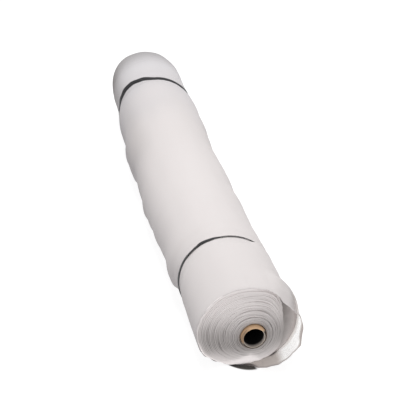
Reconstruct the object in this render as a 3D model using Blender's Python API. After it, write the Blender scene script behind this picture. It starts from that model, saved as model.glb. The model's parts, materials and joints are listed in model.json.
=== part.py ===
"""Roll of white debris netting on a cardboard tube, held by two flat straps.

The roll lies along Y on the surface Z = 0, with its loose, open end towards -Y.
"Along" is a distance in metres from the tube's near mouth, towards the far end.
Angles go round the roll: 0 is its +X side, 90 its top, 180 its -X side, 270 its underside.
"""
from math import cos, exp, pi, radians, sin, tan

import bmesh
import bpy
from mathutils import Matrix, Vector

# Driving dimensions, in metres
ROLL_RADIUS = 0.120
ROLL_FLAT = 0.0038
TUBE_LENGTH = 1.54
TUBE_BORE = 0.050
TUBE_WALL = 0.005
TUBE_SHIFT = 0.014
TUBE_DROP = 0.0024
NET_FAR = 1.515
SHEET = 0.0025
GAP = 0.0003

STRAP_WIDTH = 0.012
STRAP_THICKNESS = 0.001
STRAP_GAP = 0.0004
CINCH_DEPTH = 0.005
CINCH_FLAT = 0.009
CINCH_REACH = 0.045
STRAP_FLOOR = 0.0019
LEAN_REACH = 0.110

# How finely the shapes are drawn
TURN_STEPS = 60
TUBE_STEPS = 48
FIRST_STATION = 0.125
STATION_SPACING = 0.0075
SHARP_ANGLE = 40

TUBE_RADIUS = TUBE_BORE / 2 + TUBE_WALL
ROLL_AXIS_HEIGHT = ROLL_RADIUS - ROLL_FLAT
TUBE_AXIS_HEIGHT = ROLL_AXIS_HEIGHT - TUBE_DROP
NEAR_MOUTH = -TUBE_LENGTH / 2

# How far the roll's two sides stand out from its radius
OUTLINE = [
    {"along": 0.030, "left": -0.0035, "right": 0.0050},
    {"along": 0.110, "left": -0.0045, "right": 0.0070},
    {"along": 0.180, "left": -0.0050, "right": 0.0060},
    {"along": 0.235, "left": -0.0045, "right": 0.0045},
    {"along": 0.275, "left": -0.0020, "right": 0.0045},
    {"along": 0.345, "left": 0.0010, "right": 0.0010},
    {"along": 0.430, "left": -0.0010, "right": -0.0010},
    {"along": 0.505, "left": 0.0020, "right": -0.0010},
    {"along": 0.560, "left": 0.0045, "right": 0.0005},
    {"along": 0.615, "left": 0.0055, "right": -0.0030},
    {"along": 0.690, "left": 0.0065, "right": -0.0020},
    {"along": 0.750, "left": 0.0060, "right": -0.0005},
    {"along": 0.805, "left": 0.0060, "right": -0.0030},
    {"along": 0.885, "left": 0.0035, "right": -0.0060},
    {"along": 0.985, "left": 0.0055, "right": -0.0015},
    {"along": 1.045, "left": 0.0030, "right": 0.0030},
    {"along": 1.110, "left": 0.0000, "right": 0.0010},
    {"along": 1.190, "left": 0.0005, "right": 0.0045},
    {"along": 1.280, "left": -0.0070, "right": 0.0030},
    {"along": 1.345, "left": -0.0125, "right": 0.0000},
    {"along": 1.415, "left": -0.0135, "right": 0.0020},
    {"along": 1.470, "left": -0.0160, "right": 0.0015},
    {"along": 1.515, "left": -0.0190, "right": -0.0020},
]

# The free end of the netting lies low on the left as a wavy edge
FREE_EDGE_ANGLE = 205.0
FREE_EDGE_ABOVE = 26.0
FREE_EDGE_BELOW = 11.0
FREE_EDGE = [
    {"along": 0.300, "lift": 0.0000},
    {"along": 0.345, "lift": 0.0060},
    {"along": 0.375, "lift": 0.0070},
    {"along": 0.425, "lift": 0.0010},
    {"along": 0.505, "lift": 0.0010},
    {"along": 0.560, "lift": 0.0030},
    {"along": 0.605, "lift": 0.0020},
    {"along": 0.645, "lift": 0.0060},
    {"along": 0.680, "lift": 0.0040},
    {"along": 0.715, "lift": 0.0085},
    {"along": 0.750, "lift": 0.0015},
    {"along": 0.805, "lift": 0.0015},
    {"along": 0.895, "lift": 0.0005},
    {"along": 0.930, "lift": 0.0060},
    {"along": 0.965, "lift": 0.0055},
    {"along": 1.005, "lift": 0.0045},
    {"along": 1.045, "lift": 0.0095},
    {"along": 1.080, "lift": 0.0010},
    {"along": 1.130, "lift": 0.0000},
]

# Straps: place along the roll, lean of the strap's plane, and how its width tips round the roll
STRAPS = {
    "strap_near": {"along": 0.265, "yaw": 0.015, "lean": 0.042},
    "strap_far": {"along": 1.280, "yaw": -0.050, "lean": 0.022},
}
STRAP_TIPS = {
    "strap_near": [
        {"angle": 0, "tip": 16}, {"angle": 60, "tip": 24}, {"angle": 94, "tip": 24},
        {"angle": 106, "tip": -6}, {"angle": 122, "tip": -16}, {"angle": 136, "tip": 24},
        {"angle": 150, "tip": 0}, {"angle": 180, "tip": -8}, {"angle": 215, "tip": 0},
        {"angle": 325, "tip": 0}, {"angle": 360, "tip": 16},
    ],
    "strap_far": [
        {"angle": 0, "tip": 8}, {"angle": 45, "tip": 10}, {"angle": 90, "tip": -4},
        {"angle": 130, "tip": -24}, {"angle": 165, "tip": -28}, {"angle": 200, "tip": -8},
        {"angle": 225, "tip": 0}, {"angle": 315, "tip": 0}, {"angle": 360, "tip": 8},
    ],
}

# Near end, round the roll: where the outermost turn's edge lies,
# and the pocket between that turn and the wound body
NEAR_LIP = [
    {"angle": 0, "edge": 0.002, "gap": 0.0356, "depth": 0.080},
    {"angle": 11, "edge": 0.001, "gap": 0.0360, "depth": 0.088},
    {"angle": 26, "edge": 0.001, "gap": 0.0305, "depth": 0.092},
    {"angle": 36, "edge": 0.000, "gap": 0.0230, "depth": 0.086},
    {"angle": 42, "edge": 0.002, "gap": 0.0170, "depth": 0.070},
    {"angle": 48, "edge": 0.005, "gap": 0.0130, "depth": 0.055},
    {"angle": 54, "edge": 0.010, "gap": 0.0070, "depth": 0.040},
    {"angle": 61, "edge": 0.017, "gap": 0.0022, "depth": 0.020},
    {"angle": 68, "edge": 0.023, "gap": 0.0012, "depth": 0.010},
    {"angle": 90, "edge": 0.029, "gap": 0.0012, "depth": 0.008},
    {"angle": 135, "edge": 0.035, "gap": 0.0012, "depth": 0.008},
    {"angle": 180, "edge": 0.041, "gap": 0.0012, "depth": 0.008},
    {"angle": 208, "edge": 0.048, "gap": 0.0014, "depth": 0.008},
    {"angle": 230, "edge": 0.060, "gap": 0.0026, "depth": 0.010},
    {"angle": 243, "edge": 0.066, "gap": 0.0026, "depth": 0.014},
    {"angle": 255, "edge": 0.067, "gap": 0.0022, "depth": 0.018},
    {"angle": 266, "edge": 0.059, "gap": 0.0024, "depth": 0.022},
    {"angle": 277, "edge": 0.048, "gap": 0.0063, "depth": 0.030},
    {"angle": 286, "edge": 0.035, "gap": 0.0140, "depth": 0.042},
    {"angle": 296, "edge": 0.023, "gap": 0.0176, "depth": 0.050},
    {"angle": 312, "edge": 0.010, "gap": 0.0190, "depth": 0.057},
    {"angle": 321, "edge": 0.004, "gap": 0.0208, "depth": 0.064},
    {"angle": 335, "edge": 0.001, "gap": 0.0282, "depth": 0.070},
    {"angle": 350, "edge": 0.001, "gap": 0.0350, "depth": 0.074},
    {"angle": 360, "edge": 0.002, "gap": 0.0356, "depth": 0.080},
]
POCKET_FLOOR_GAP = 0.0012
POCKET_BODY = [
    {"back": 0.5, "out": 0.22},
    {"back": 1.0, "out": 1.00},
]
LOOSE_INSIDE_SHARES = (1.0, 0.66, 0.33, 0.0)
LOOSE_OUTSIDE_SHARES = (0.04, 0.33, 0.66)

# How far the loose turn bends outwards close behind its own edge, round the roll
BEND_REACH = 0.040
LIP_BEND = [
    {"angle": 0, "bend": 0.0055},
    {"angle": 8, "bend": 0.0020},
    {"angle": 17, "bend": -0.0060},
    {"angle": 27, "bend": -0.0085},
    {"angle": 37, "bend": -0.0098},
    {"angle": 47, "bend": -0.0062},
    {"angle": 57, "bend": -0.0015},
    {"angle": 68, "bend": 0.0000},
    {"angle": 329, "bend": 0.0000},
    {"angle": 336, "bend": 0.0050},
    {"angle": 342, "bend": 0.0105},
    {"angle": 352, "bend": 0.0095},
    {"angle": 360, "bend": 0.0055},
]

# The loose turn stands away from the roll near its end: how much along it, and its share round it
LOOSE_ALONG = [
    {"along": 0.000, "swell": 0.0030},
    {"along": 0.020, "swell": 0.0055},
    {"along": 0.045, "swell": 0.0085},
    {"along": 0.080, "swell": 0.0115},
    {"along": 0.125, "swell": 0.0060},
    {"along": 0.175, "swell": 0.0000},
]
LOOSE_AROUND = [
    {"angle": 0, "share": 1.10},
    {"angle": 22, "share": 1.05},
    {"angle": 48, "share": 1.00},
    {"angle": 66, "share": 0.30},
    {"angle": 84, "share": 0.00},
    {"angle": 195, "share": 0.00},
    {"angle": 212, "share": 0.15},
    {"angle": 235, "share": 0.00},
    {"angle": 280, "share": 0.00},
    {"angle": 305, "share": 0.60},
    {"angle": 335, "share": 1.00},
    {"angle": 360, "share": 1.10},
]

# End faces from the tube (share 0) to the rim (share 1), as distances behind the inner turns
NEAR_FACE_START = 0.0085
NEAR_FACE = [
    {"share": 0.00, "set_back": 0.0020},
    {"share": 0.05, "set_back": 0.0000},
    {"share": 0.17, "set_back": 0.0015},
    {"share": 0.22, "set_back": 0.0040},
    {"share": 0.36, "set_back": 0.0070},
    {"share": 0.42, "set_back": 0.0115},
    {"share": 0.60, "set_back": 0.0145},
    {"share": 0.64, "set_back": 0.0165},
    {"share": 0.78, "set_back": 0.0205},
    {"share": 0.84, "set_back": 0.0235},
    {"share": 0.96, "set_back": 0.0255},
    {"share": 1.00, "set_back": 0.0275},
]
# How far back the near face's rim lies, round the roll
RIM_BACK = [
    {"angle": 0, "back": -0.0020},
    {"angle": 45, "back": -0.0070},
    {"angle": 90, "back": -0.0080},
    {"angle": 135, "back": -0.0040},
    {"angle": 180, "back": 0.0010},
    {"angle": 208, "back": 0.0080},
    {"angle": 230, "back": 0.0220},
    {"angle": 243, "back": 0.0270},
    {"angle": 255, "back": 0.0270},
    {"angle": 266, "back": 0.0230},
    {"angle": 277, "back": 0.0170},
    {"angle": 290, "back": 0.0110},
    {"angle": 312, "back": 0.0060},
    {"angle": 335, "back": 0.0020},
    {"angle": 360, "back": -0.0020},
]
FAR_FACE_START = 0.016
FAR_FACE = [
    {"share": 0.00, "set_back": 0.0020},
    {"share": 0.30, "set_back": 0.0000},
    {"share": 0.38, "set_back": 0.0060},
    {"share": 0.68, "set_back": 0.0050},
    {"share": 0.76, "set_back": 0.0100},
    {"share": 0.94, "set_back": 0.0110},
    {"share": 1.00, "set_back": 0.0170},
]
FAR_LOPSIDED = 0.003
FAR_RIM = [
    {"back": 0.048, "drawn_in": 0.0000},
    {"back": 0.022, "drawn_in": 0.0012},
    {"back": 0.004, "drawn_in": 0.0040},
]
FAR_DRAWN_IN = 0.008
DRAWN_IN_POWER = 2.4
BORE_STATIONS = (0.75, 0.5, 0.25)


def ease(share):
    """Share from 0 to 1, level at both ends and kept between them."""
    share = min(1.0, max(0.0, share))
    return share * share * (3 - 2 * share)


def read(table, key, value, column):
    """Smooth value of a column at a place between two rows of a table."""
    if value <= table[0][key]:
        return table[0][column]
    for low, high in zip(table, table[1:]):
        if value <= high[key]:
            share = (value - low[key]) / (high[key] - low[key])
            return low[column] + (high[column] - low[column]) * ease(share)
    return table[-1][column]


def cinch(along):
    """Depth that the nearer strap presses the netting in, even under the strap itself."""
    depth = 0.0
    for strap in STRAPS.values():
        away = abs(along - strap["along"])
        depth += CINCH_DEPTH * (1 - ease((away - CINCH_FLAT) / (CINCH_REACH - CINCH_FLAT)))
    return depth


def sides(along):
    """How far the left and right sides stand out; a strap's seat has them as at its middle."""
    for strap in STRAPS.values():
        if abs(along - strap["along"]) <= CINCH_FLAT + GAP:
            along = strap["along"]
    return read(OUTLINE, "along", along, "left"), read(OUTLINE, "along", along, "right")


def section_centre(along):
    """Centre of the roll's section, which wanders to the left and right along the roll."""
    left, right = sides(along)
    return Vector(((right - left) / 2, 0, ROLL_AXIS_HEIGHT))


def outer_radius(along, degrees):
    """Radius of the outermost turn, cut off level where the roll rests."""
    degrees = degrees % 360.0
    left, right = sides(along)
    radius = ROLL_RADIUS + (left + right) / 2 - cinch(along)
    around = read(LOOSE_AROUND, "angle", degrees, "share")
    radius += around * read(LOOSE_ALONG, "along", along, "swell")
    turn = degrees - FREE_EDGE_ANGLE
    spread = FREE_EDGE_BELOW if turn > 0 else FREE_EDGE_ABOVE
    radius += read(FREE_EDGE, "along", along, "lift") * exp(-(turn / spread) ** 2)
    down = -sin(radians(degrees))
    if down > 0.01:
        rest = STRAP_FLOOR * cinch(along) / CINCH_DEPTH
        radius = min(radius, (ROLL_AXIS_HEIGHT - rest) / down)
    return radius


def strap_lean(along, degrees):
    """Shift along the roll that follows the leaning planes of the straps."""
    shift = 0.0
    for strap in STRAPS.values():
        away = (along - strap["along"]) / LEAN_REACH
        weight = exp(-away ** 4)
        across = ROLL_RADIUS * cos(radians(degrees)) * tan(strap["yaw"])
        upright = ROLL_RADIUS * sin(radians(degrees)) * tan(strap["lean"])
        shift += weight * (across + upright)
    return shift


def place_point(centre, radius, degrees, along):
    """Point of the roll from its polar place."""
    turn = radians(degrees)
    return Vector((centre.x + radius * cos(turn), NEAR_MOUTH + along, centre.z + radius * sin(turn)))


def lip_bend(behind, degrees):
    """How far the loose turn bends outwards at a distance behind its edge."""
    return read(LIP_BEND, "angle", degrees, "bend") * (1 - ease(behind / BEND_REACH))


def face_places(rows, start, rim_back):
    """Share of the way out and distance from the tube's mouth for the points of an end face."""
    return [(row["share"], start + row["set_back"] + rim_back * row["share"] ** 2) for row in rows]


def face_point(share, radius, drawn_in, centre, degrees, along):
    """Point of an end face from the tube, share 0, to the rim, share 1, which may be drawn in."""
    inner = TUBE_RADIUS + GAP
    middle = Vector((TUBE_SHIFT, 0, TUBE_AXIS_HEIGHT)).lerp(centre, share)
    away = inner + (radius - inner) * share - drawn_in * share ** DRAWN_IN_POWER
    return place_point(middle, away, degrees, along)


def near_end(degrees):
    """Near face, pocket and loose edge of the outermost turn, from the tube outwards."""
    lip = {name: read(NEAR_LIP, "angle", degrees, name) for name in ("edge", "gap", "depth")}
    floor = lip["edge"] + lip["depth"]
    floor_gap = min(lip["gap"], POCKET_FLOOR_GAP)
    centre = section_centre(lip["edge"])
    full_radius = outer_radius(lip["edge"], degrees) - SHEET
    body_radius = full_radius - lip["gap"]
    body_floor = outer_radius(floor, degrees) - SHEET - floor_gap
    rim_back = read(RIM_BACK, "angle", degrees, "back")
    places = face_places(NEAR_FACE, NEAR_FACE_START, rim_back)
    rim = places[-1][1]
    points = [face_point(share, full_radius, lip["gap"], centre, degrees, along) for share, along in places]
    for row in POCKET_BODY:
        along = rim + (floor - rim) * row["back"]
        radius = body_radius + (body_floor - body_radius) * row["out"]
        points.append(place_point(section_centre(along), radius, degrees, along))
    for shares, inward in ((LOOSE_INSIDE_SHARES, SHEET), (LOOSE_OUTSIDE_SHARES, 0.0)):
        for share in shares:
            behind = lip["depth"] * share
            along = lip["edge"] + behind
            radius = outer_radius(along, degrees) + lip_bend(behind, degrees) - inward
            points.append(place_point(section_centre(along), radius, degrees, along))
    return points


def far_end(degrees):
    """Far rim and face, from the outside in to the tube."""
    points = []
    for row in FAR_RIM:
        along = NET_FAR - row["back"]
        radius = outer_radius(along, degrees) - row["drawn_in"]
        points.append(place_point(section_centre(along), radius, degrees, along))
    centre = section_centre(NET_FAR)
    radius = outer_radius(NET_FAR, degrees)
    lean = -FAR_LOPSIDED * sin(radians(degrees))
    for share, away in face_places(FAR_FACE, FAR_FACE_START, lean)[::-1]:
        points.append(face_point(share, radius, FAR_DRAWN_IN, centre, degrees, TUBE_LENGTH - away))
    return points


def stations():
    """Places along the roll where its section is drawn, between the two ends."""
    last = NET_FAR - FAR_RIM[0]["back"] - STATION_SPACING
    places = {row["along"] for row in OUTLINE + FREE_EDGE if FIRST_STATION < row["along"] < last}
    places.add(FIRST_STATION)
    for strap in STRAPS.values():
        middle = strap["along"]
        places = {place for place in places if abs(place - middle) > CINCH_REACH - STATION_SPACING}
        for away in (CINCH_FLAT, CINCH_FLAT * 2, CINCH_REACH):
            places |= {middle - away, middle + away}
    kept = []
    for place in sorted(places):
        if not kept or place - kept[-1] > STATION_SPACING:
            kept.append(place)
    return kept


def loft_ring(rings, name):
    """Closed mesh through rings of points, of which the last one joins the first."""
    mesh = bpy.data.meshes.new(name)
    work = bmesh.new()
    rows = [[work.verts.new(point) for point in ring] for ring in rings]
    for row, following in zip(rows, rows[1:] + rows[:1]):
        for index in range(len(row)):
            after = (index + 1) % len(row)
            work.faces.new((row[index], row[after], following[after], following[index]))
    bmesh.ops.recalc_face_normals(work, faces=work.faces)
    work.to_mesh(mesh)
    work.free()
    shade(mesh)
    return mesh


def shade(mesh):
    """Smooth shading with sharp corners."""
    mesh.shade_smooth()
    mesh.set_sharp_from_angle(angle=radians(SHARP_ANGLE))


def add_piece(name, mesh, material, collection):
    """Object for one piece, with its material."""
    piece = bpy.data.objects.new(name, mesh)
    mesh.materials.append(material)
    collection.objects.link(piece)
    return piece


def make_material(name, colour, roughness):
    """Principled finish of one piece."""
    material = bpy.data.materials.new(name)
    material.use_nodes = True
    shader = material.node_tree.nodes["Principled BSDF"]
    shader.inputs["Base Color"].default_value = (*colour, 1.0)
    shader.inputs["Roughness"].default_value = roughness
    shader.inputs["Metallic"].default_value = 0.0
    return material


def make_rod(name, radius, length):
    """Round rod lying along the tube's axis."""
    mesh = bpy.data.meshes.new(name)
    place = Matrix.Translation((TUBE_SHIFT, 0, TUBE_AXIS_HEIGHT)) @ Matrix.Rotation(pi / 2, 4, "X")
    work = bmesh.new()
    bmesh.ops.create_cone(
        work, cap_ends=True, segments=TUBE_STEPS, radius1=radius, radius2=radius, depth=length, matrix=place
    )
    work.to_mesh(mesh)
    work.free()
    shade(mesh)
    return mesh


def make_tube(collection, cutters):
    """Cardboard tube, a rod with its bore cut out."""
    card = make_material("cardboard", (0.58, 0.36, 0.19), 0.85)
    tube = add_piece("core_tube", make_rod("core_tube", TUBE_RADIUS, TUBE_LENGTH), card, collection)
    bore = bpy.data.objects.new("bore_cutter", make_rod("bore_cutter", TUBE_BORE / 2, TUBE_LENGTH * 1.1))
    bore.hide_render = True
    bore.display_type = "WIRE"
    cutters.objects.link(bore)
    cut = tube.modifiers.new("bore", "BOOLEAN")
    cut.operation = "DIFFERENCE"
    cut.solver = "EXACT"
    cut.object = bore


def make_netting(collection):
    """Wound netting, one loft of profiles that run from bore to bore over the outside."""
    tube_centre = Vector((TUBE_SHIFT, 0, TUBE_AXIS_HEIGHT))
    profiles = []
    for step in range(TURN_STEPS):
        degrees = 360.0 * step / TURN_STEPS
        profile = near_end(degrees)
        for along in stations():
            leaning = along + strap_lean(along, degrees)
            profile.append(place_point(section_centre(along), outer_radius(along, degrees), degrees, leaning))
        profile += far_end(degrees)
        for share in BORE_STATIONS:
            profile.append(place_point(tube_centre, TUBE_RADIUS + GAP, degrees, TUBE_LENGTH * share))
        profiles.append(profile)
    rings = list(zip(*profiles))
    white = make_material("white_netting", (0.80, 0.79, 0.77), 0.75)
    add_piece("netting", loft_ring(rings, "netting"), white, collection)


def make_strap(name, collection, material):
    """Flat strap round the roll, tipping as it goes."""
    strap = STRAPS[name]
    centre = section_centre(strap["along"])
    half_width = STRAP_WIDTH / 2
    corners = ((-1, 0), (1, 0), (1, 1), (-1, 1))
    rings = [[], [], [], []]
    for step in range(TURN_STEPS):
        degrees = 360.0 * step / TURN_STEPS
        tip = radians(read(STRAP_TIPS[name], "angle", degrees, "tip"))
        seat = outer_radius(strap["along"], degrees) + STRAP_GAP
        lift = abs(sin(tip)) * half_width
        along = strap["along"] + strap_lean(strap["along"], degrees)
        for ring, (side, layer) in zip(rings, corners):
            outward = seat + lift - side * half_width * sin(tip) + layer * STRAP_THICKNESS * cos(tip)
            onward = along + side * half_width * cos(tip) + layer * STRAP_THICKNESS * sin(tip)
            ring.append(place_point(centre, outward, degrees, onward))
    add_piece(name, loft_ring(rings, name), material, collection)


def stand_on_origin(pieces, cutters):
    """Moves everything so that the middle of the footprint is the origin, on the surface."""
    corners = [vertex.co for piece in pieces.objects for vertex in piece.data.vertices]
    low = [min(corner[axis] for corner in corners) for axis in range(3)]
    high = [max(corner[axis] for corner in corners) for axis in range(3)]
    shift = Matrix.Translation((-(low[0] + high[0]) / 2, -(low[1] + high[1]) / 2, -low[2]))
    for piece in list(pieces.objects) + list(cutters.objects):
        piece.data.transform(shift)


def main():
    for old in list(bpy.data.objects):
        bpy.data.objects.remove(old, do_unlink=True)
    pieces = bpy.data.collections.new("debris_netting_roll")
    cutters = bpy.data.collections.new("cutters")
    bpy.context.scene.collection.children.link(pieces)
    bpy.context.scene.collection.children.link(cutters)
    make_tube(pieces, cutters)
    make_netting(pieces)
    black = make_material("black_strap", (0.03, 0.03, 0.035), 0.5)
    for name in STRAPS:
        make_strap(name, pieces, black)
    stand_on_origin(pieces, cutters)


main()
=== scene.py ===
# %% [markdown]
# # A roll of debris netting
# White knitted netting is folded in half along its length and wound on a cardboard tube.
# The roll lies on its side, two flat black straps hold it, and its outermost turn is loose at one end.
# The solids of the roll come first: they give the places that every later piece is measured from.

import json

import bpy
import numpy as np
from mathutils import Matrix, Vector

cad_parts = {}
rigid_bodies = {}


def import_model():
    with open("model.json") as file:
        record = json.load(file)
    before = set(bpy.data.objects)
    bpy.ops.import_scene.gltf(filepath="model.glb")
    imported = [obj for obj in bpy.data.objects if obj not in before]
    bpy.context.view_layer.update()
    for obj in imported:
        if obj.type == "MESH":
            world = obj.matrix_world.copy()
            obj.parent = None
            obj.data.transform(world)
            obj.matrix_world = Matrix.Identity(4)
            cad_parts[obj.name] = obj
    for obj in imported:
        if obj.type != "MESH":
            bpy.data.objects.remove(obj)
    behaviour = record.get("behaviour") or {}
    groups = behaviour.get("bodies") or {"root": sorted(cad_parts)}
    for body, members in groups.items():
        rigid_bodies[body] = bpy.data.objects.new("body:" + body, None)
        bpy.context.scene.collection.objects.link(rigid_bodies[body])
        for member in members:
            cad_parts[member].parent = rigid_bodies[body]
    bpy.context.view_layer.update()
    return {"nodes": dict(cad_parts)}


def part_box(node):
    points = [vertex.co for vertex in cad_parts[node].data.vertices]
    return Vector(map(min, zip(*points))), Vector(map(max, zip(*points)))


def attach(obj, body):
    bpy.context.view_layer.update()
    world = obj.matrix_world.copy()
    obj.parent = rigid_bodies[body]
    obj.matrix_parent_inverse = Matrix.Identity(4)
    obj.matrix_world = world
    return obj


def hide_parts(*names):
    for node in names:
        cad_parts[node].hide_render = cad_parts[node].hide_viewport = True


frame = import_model()
print("solids:", ", ".join(sorted(frame["nodes"])))

# %% [markdown]
# ## The camera
# The roll is seen from above its loose end, a little to its left, with a long lens from three metres.
# The camera is made first, so that every piece can be judged in the same picture from the start.
# One small helper puts it, and every later object, in the scene.

# %% Camera
CAMERA_PLACE = (-0.6182, -3.1883, 1.8432)
CAMERA_TILT = 0.500
CAMERA_TURN = -0.204
LENS = 117.0
FILM_WIDTH = 36.0


def add_object(name, data):
    """New object in the scene, made of a camera, a lamp, a curve or a mesh."""
    made = bpy.data.objects.new(name, data)
    bpy.context.scene.collection.objects.link(made)
    return made


camera = add_object("camera", bpy.data.cameras.new("camera"))
camera.location = CAMERA_PLACE
camera.rotation_euler = (np.pi / 2 - CAMERA_TILT, 0.0, CAMERA_TURN)
camera.data.lens = LENS
camera.data.sensor_width = FILM_WIDTH
bpy.context.scene.camera = camera
print("camera lens:", LENS, "mm")

# %% [markdown]
# ## Where things lie
# The roll lies along Y with its loose end towards -Y.
# "Along" is a distance in metres from the tube's near mouth.
# Angles go round the roll: 0 is its +X side, 90 its top, 180 its -X side and 270 its underside.
# The tube has sunk a little in the roll and lies right of its middle, seen from the loose end.

# %% Places read from the solids
TUBE_WALL = 0.005
TUBE_ASIDE = 0.014
TUBE_DROP = 0.0024
ROLL_RADIUS = 0.120
NETTING_END = 1.515
tube_low, tube_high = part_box("core_tube")
NEAR_MOUTH = tube_low.y
TUBE_LENGTH = tube_high.y - tube_low.y
TUBE_X = (tube_low.x + tube_high.x) / 2
TUBE_HEIGHT = (tube_low.z + tube_high.z) / 2
TUBE_RADIUS = (tube_high.x - tube_low.x) / 2
BORE_RADIUS = TUBE_RADIUS - TUBE_WALL
ROLL_X = TUBE_X - TUBE_ASIDE
ROLL_HEIGHT = TUBE_HEIGHT + TUBE_DROP
print("tube:", round(TUBE_LENGTH, 3), "m long,", round(2 * TUBE_RADIUS, 3), "m across")

# %% [markdown]
# A roll of cloth is never a true cylinder, so short tables say how it departs from one.
# A row of SIDES holds a distance along and how far the left and the right side stand out there.
# The next two say how far the outermost turn stands clear behind the near end, by distance and by angle.
# FREE_EDGE_LIFT holds the waves of the cloth's free edge, low on the left side.
# In STRAPS, yaw and lean are the slants of a strap's plane in radians, and creased is the share of its
# width that is folded away over the top.

# %% Tables of the roll's shape
SIDES = [
    (0.030, -0.0035, 0.0050), (0.110, -0.0045, 0.0070), (0.180, -0.0050, 0.0092), (0.235, -0.0045, 0.0076),
    (0.275, -0.0020, 0.0082), (0.292, -0.0066, 0.0070), (0.320, -0.0050, 0.0054), (0.345, 0.0003, 0.0041),
    (0.430, -0.0010, 0.0003), (0.505, 0.0020, 0.0002), (0.560, 0.0045, 0.0017), (0.615, 0.0055, -0.0018),
    (0.690, 0.0065, 0.0012), (0.750, 0.0060, 0.0006), (0.805, 0.0060, -0.0018), (0.885, 0.0035, -0.0048),
    (0.985, 0.0055, 0.0002), (1.045, 0.0030, 0.0052), (1.110, -0.0006, 0.0046), (1.190, -0.0010, 0.0070),
    (1.280, -0.0066, 0.0050), (1.345, -0.0144, 0.0030), (1.415, -0.0162, 0.0050), (1.470, -0.0192, 0.0040),
    (1.515, -0.0206, 0.0000),
]
LOOSE_ALONG = [
    (0.000, 0.0030), (0.020, 0.0066), (0.045, 0.0110), (0.080, 0.0136), (0.125, 0.0030), (0.175, 0.0000),
]
LOOSE_AROUND = [
    (0, 1.10), (22, 1.05), (48, 1.00), (66, 0.30), (84, 0.00), (195, 0.00), (212, 0.15), (235, 0.00),
    (280, 0.00), (305, 0.60), (335, 1.00), (360, 1.10),
]
FREE_EDGE_LIFT = [
    (0.320, 0.0000), (0.352, 0.0048), (0.378, 0.0060), (0.425, 0.0010), (0.505, 0.0010), (0.560, 0.0030),
    (0.605, 0.0020), (0.645, 0.0060), (0.680, 0.0040), (0.715, 0.0085), (0.750, 0.0015), (0.805, 0.0015),
    (0.895, 0.0005), (0.930, 0.0060), (0.965, 0.0055), (1.005, 0.0045), (1.038, 0.0082), (1.075, 0.0008),
    (1.130, 0.0000),
]
STRAPS = {
    "strap_near": {"along": 0.265, "yaw": 0.015, "lean": 0.042, "width": 0.010, "creased": 0.40},
    "strap_far": {"along": 1.280, "yaw": -0.050, "lean": 0.022, "width": 0.012, "creased": 0.0},
}
print("tables:", len(SIDES), "places along the sides")

# %% [markdown]
# An eased reading of a table gives a smooth surface through its rows.
# Three more helpers give soft steps, stretches and hills, which place every fold and shade of the cloth.

# %% Readings and soft steps
def read(table, at, column=1):
    """Eased value of a table's column at each place."""
    table = np.asarray(table, float)
    at = np.clip(at, table[0, 0], table[-1, 0])
    row = np.clip(np.searchsorted(table[:, 0], at, side="right") - 1, 0, len(table) - 2)
    share = (at - table[row, 0]) / (table[row + 1, 0] - table[row, 0])
    share = share * share * (3 - 2 * share)
    return table[row, column] + (table[row + 1, column] - table[row, column]) * share


def read_round(table, degrees, column=1):
    """Eased value of a table's column at each angle."""
    return read(table, np.mod(degrees, 360), column)


def fade(low, high, at):
    """0 at low and beyond, 1 at high and beyond, eased between them; high may be the smaller one."""
    share = np.clip((at - low) / (high - low), 0, 1)
    return share * share * (3 - 2 * share)


def between(at, start, full, last, end):
    """1 from full to last, eased down to 0 at start and at end."""
    return fade(start, full, at) * fade(end, last, at)


def hill(at, top, spread):
    """1 at the top, falling off softly on both sides."""
    return np.exp(-(((at - top) / spread) ** 2))


print("half way up a step of 0 to 1:", float(fade(0, 1, 0.5)))

# %% [markdown]
# The straps press the netting in, and where the roll lies on the ground it is a little flat.
# With those two, the tables give the radius of the outermost turn anywhere on the roll.

# %% The roll's outside
CINCH_DEPTH = 0.005
CINCH_FLAT = 0.009
CINCH_REACH = 0.045
LEAN_REACH = 0.11
STRAP_FLOOR = 0.0019


def cinch(along):
    """How deep the straps press the netting in."""
    near = [fade(CINCH_REACH, CINCH_FLAT, np.abs(along - strap["along"])) for strap in STRAPS.values()]
    return CINCH_DEPTH * sum(near)


def sides(along):
    """How far the left and right sides stand out; the seat of a strap is straight."""
    for strap in STRAPS.values():
        along = np.where(np.abs(along - strap["along"]) < CINCH_FLAT, strap["along"], along)
    return read(SIDES, along, 1), read(SIDES, along, 2)


def middle(along):
    """X of the middle of the roll's section."""
    left, right = sides(along)
    return ROLL_X + (right - left) / 2


def roll_radius(along, degrees):
    """Radius of the outermost turn, without the waves of its free edge."""
    left, right = sides(along)
    radius = ROLL_RADIUS + (left + right) / 2 - cinch(along)
    radius = radius + read_round(LOOSE_AROUND, degrees) * read(LOOSE_ALONG, along)
    return on_ground(radius, along, degrees)


def on_ground(radius, along, degrees):
    """The radius, cut short where the roll lies on the ground."""
    down = np.maximum(-np.sin(np.radians(degrees)), 0.01)
    clear = STRAP_FLOOR * cinch(along) / CINCH_DEPTH
    return np.minimum(radius, (ROLL_HEIGHT - clear) / down)


def lean(along, degrees):
    """Shift along the roll that follows the leaning planes of the straps."""
    shift = 0.0
    for strap in STRAPS.values():
        weight = np.exp(-((along - strap["along"]) / LEAN_REACH) ** 4)
        across = np.cos(np.radians(degrees)) * np.tan(strap["yaw"])
        upright = np.sin(np.radians(degrees)) * np.tan(strap["lean"])
        shift = shift + weight * ROLL_RADIUS * (across + upright)
    return shift


def place(x, height, radius, degrees, along):
    """Points round a middle at x and height, as an array of X, Y and Z."""
    turn = np.radians(degrees)
    parts = np.broadcast_arrays(x + radius * np.cos(turn), NEAR_MOUTH + along, height + radius * np.sin(turn))
    return np.stack(parts, axis=-1)


def on_roll(radius, degrees, along):
    """Points round the roll's own middle, shifted with the leaning planes of the straps."""
    return place(middle(along), ROLL_HEIGHT, radius, degrees, along + lean(along, degrees))


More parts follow.
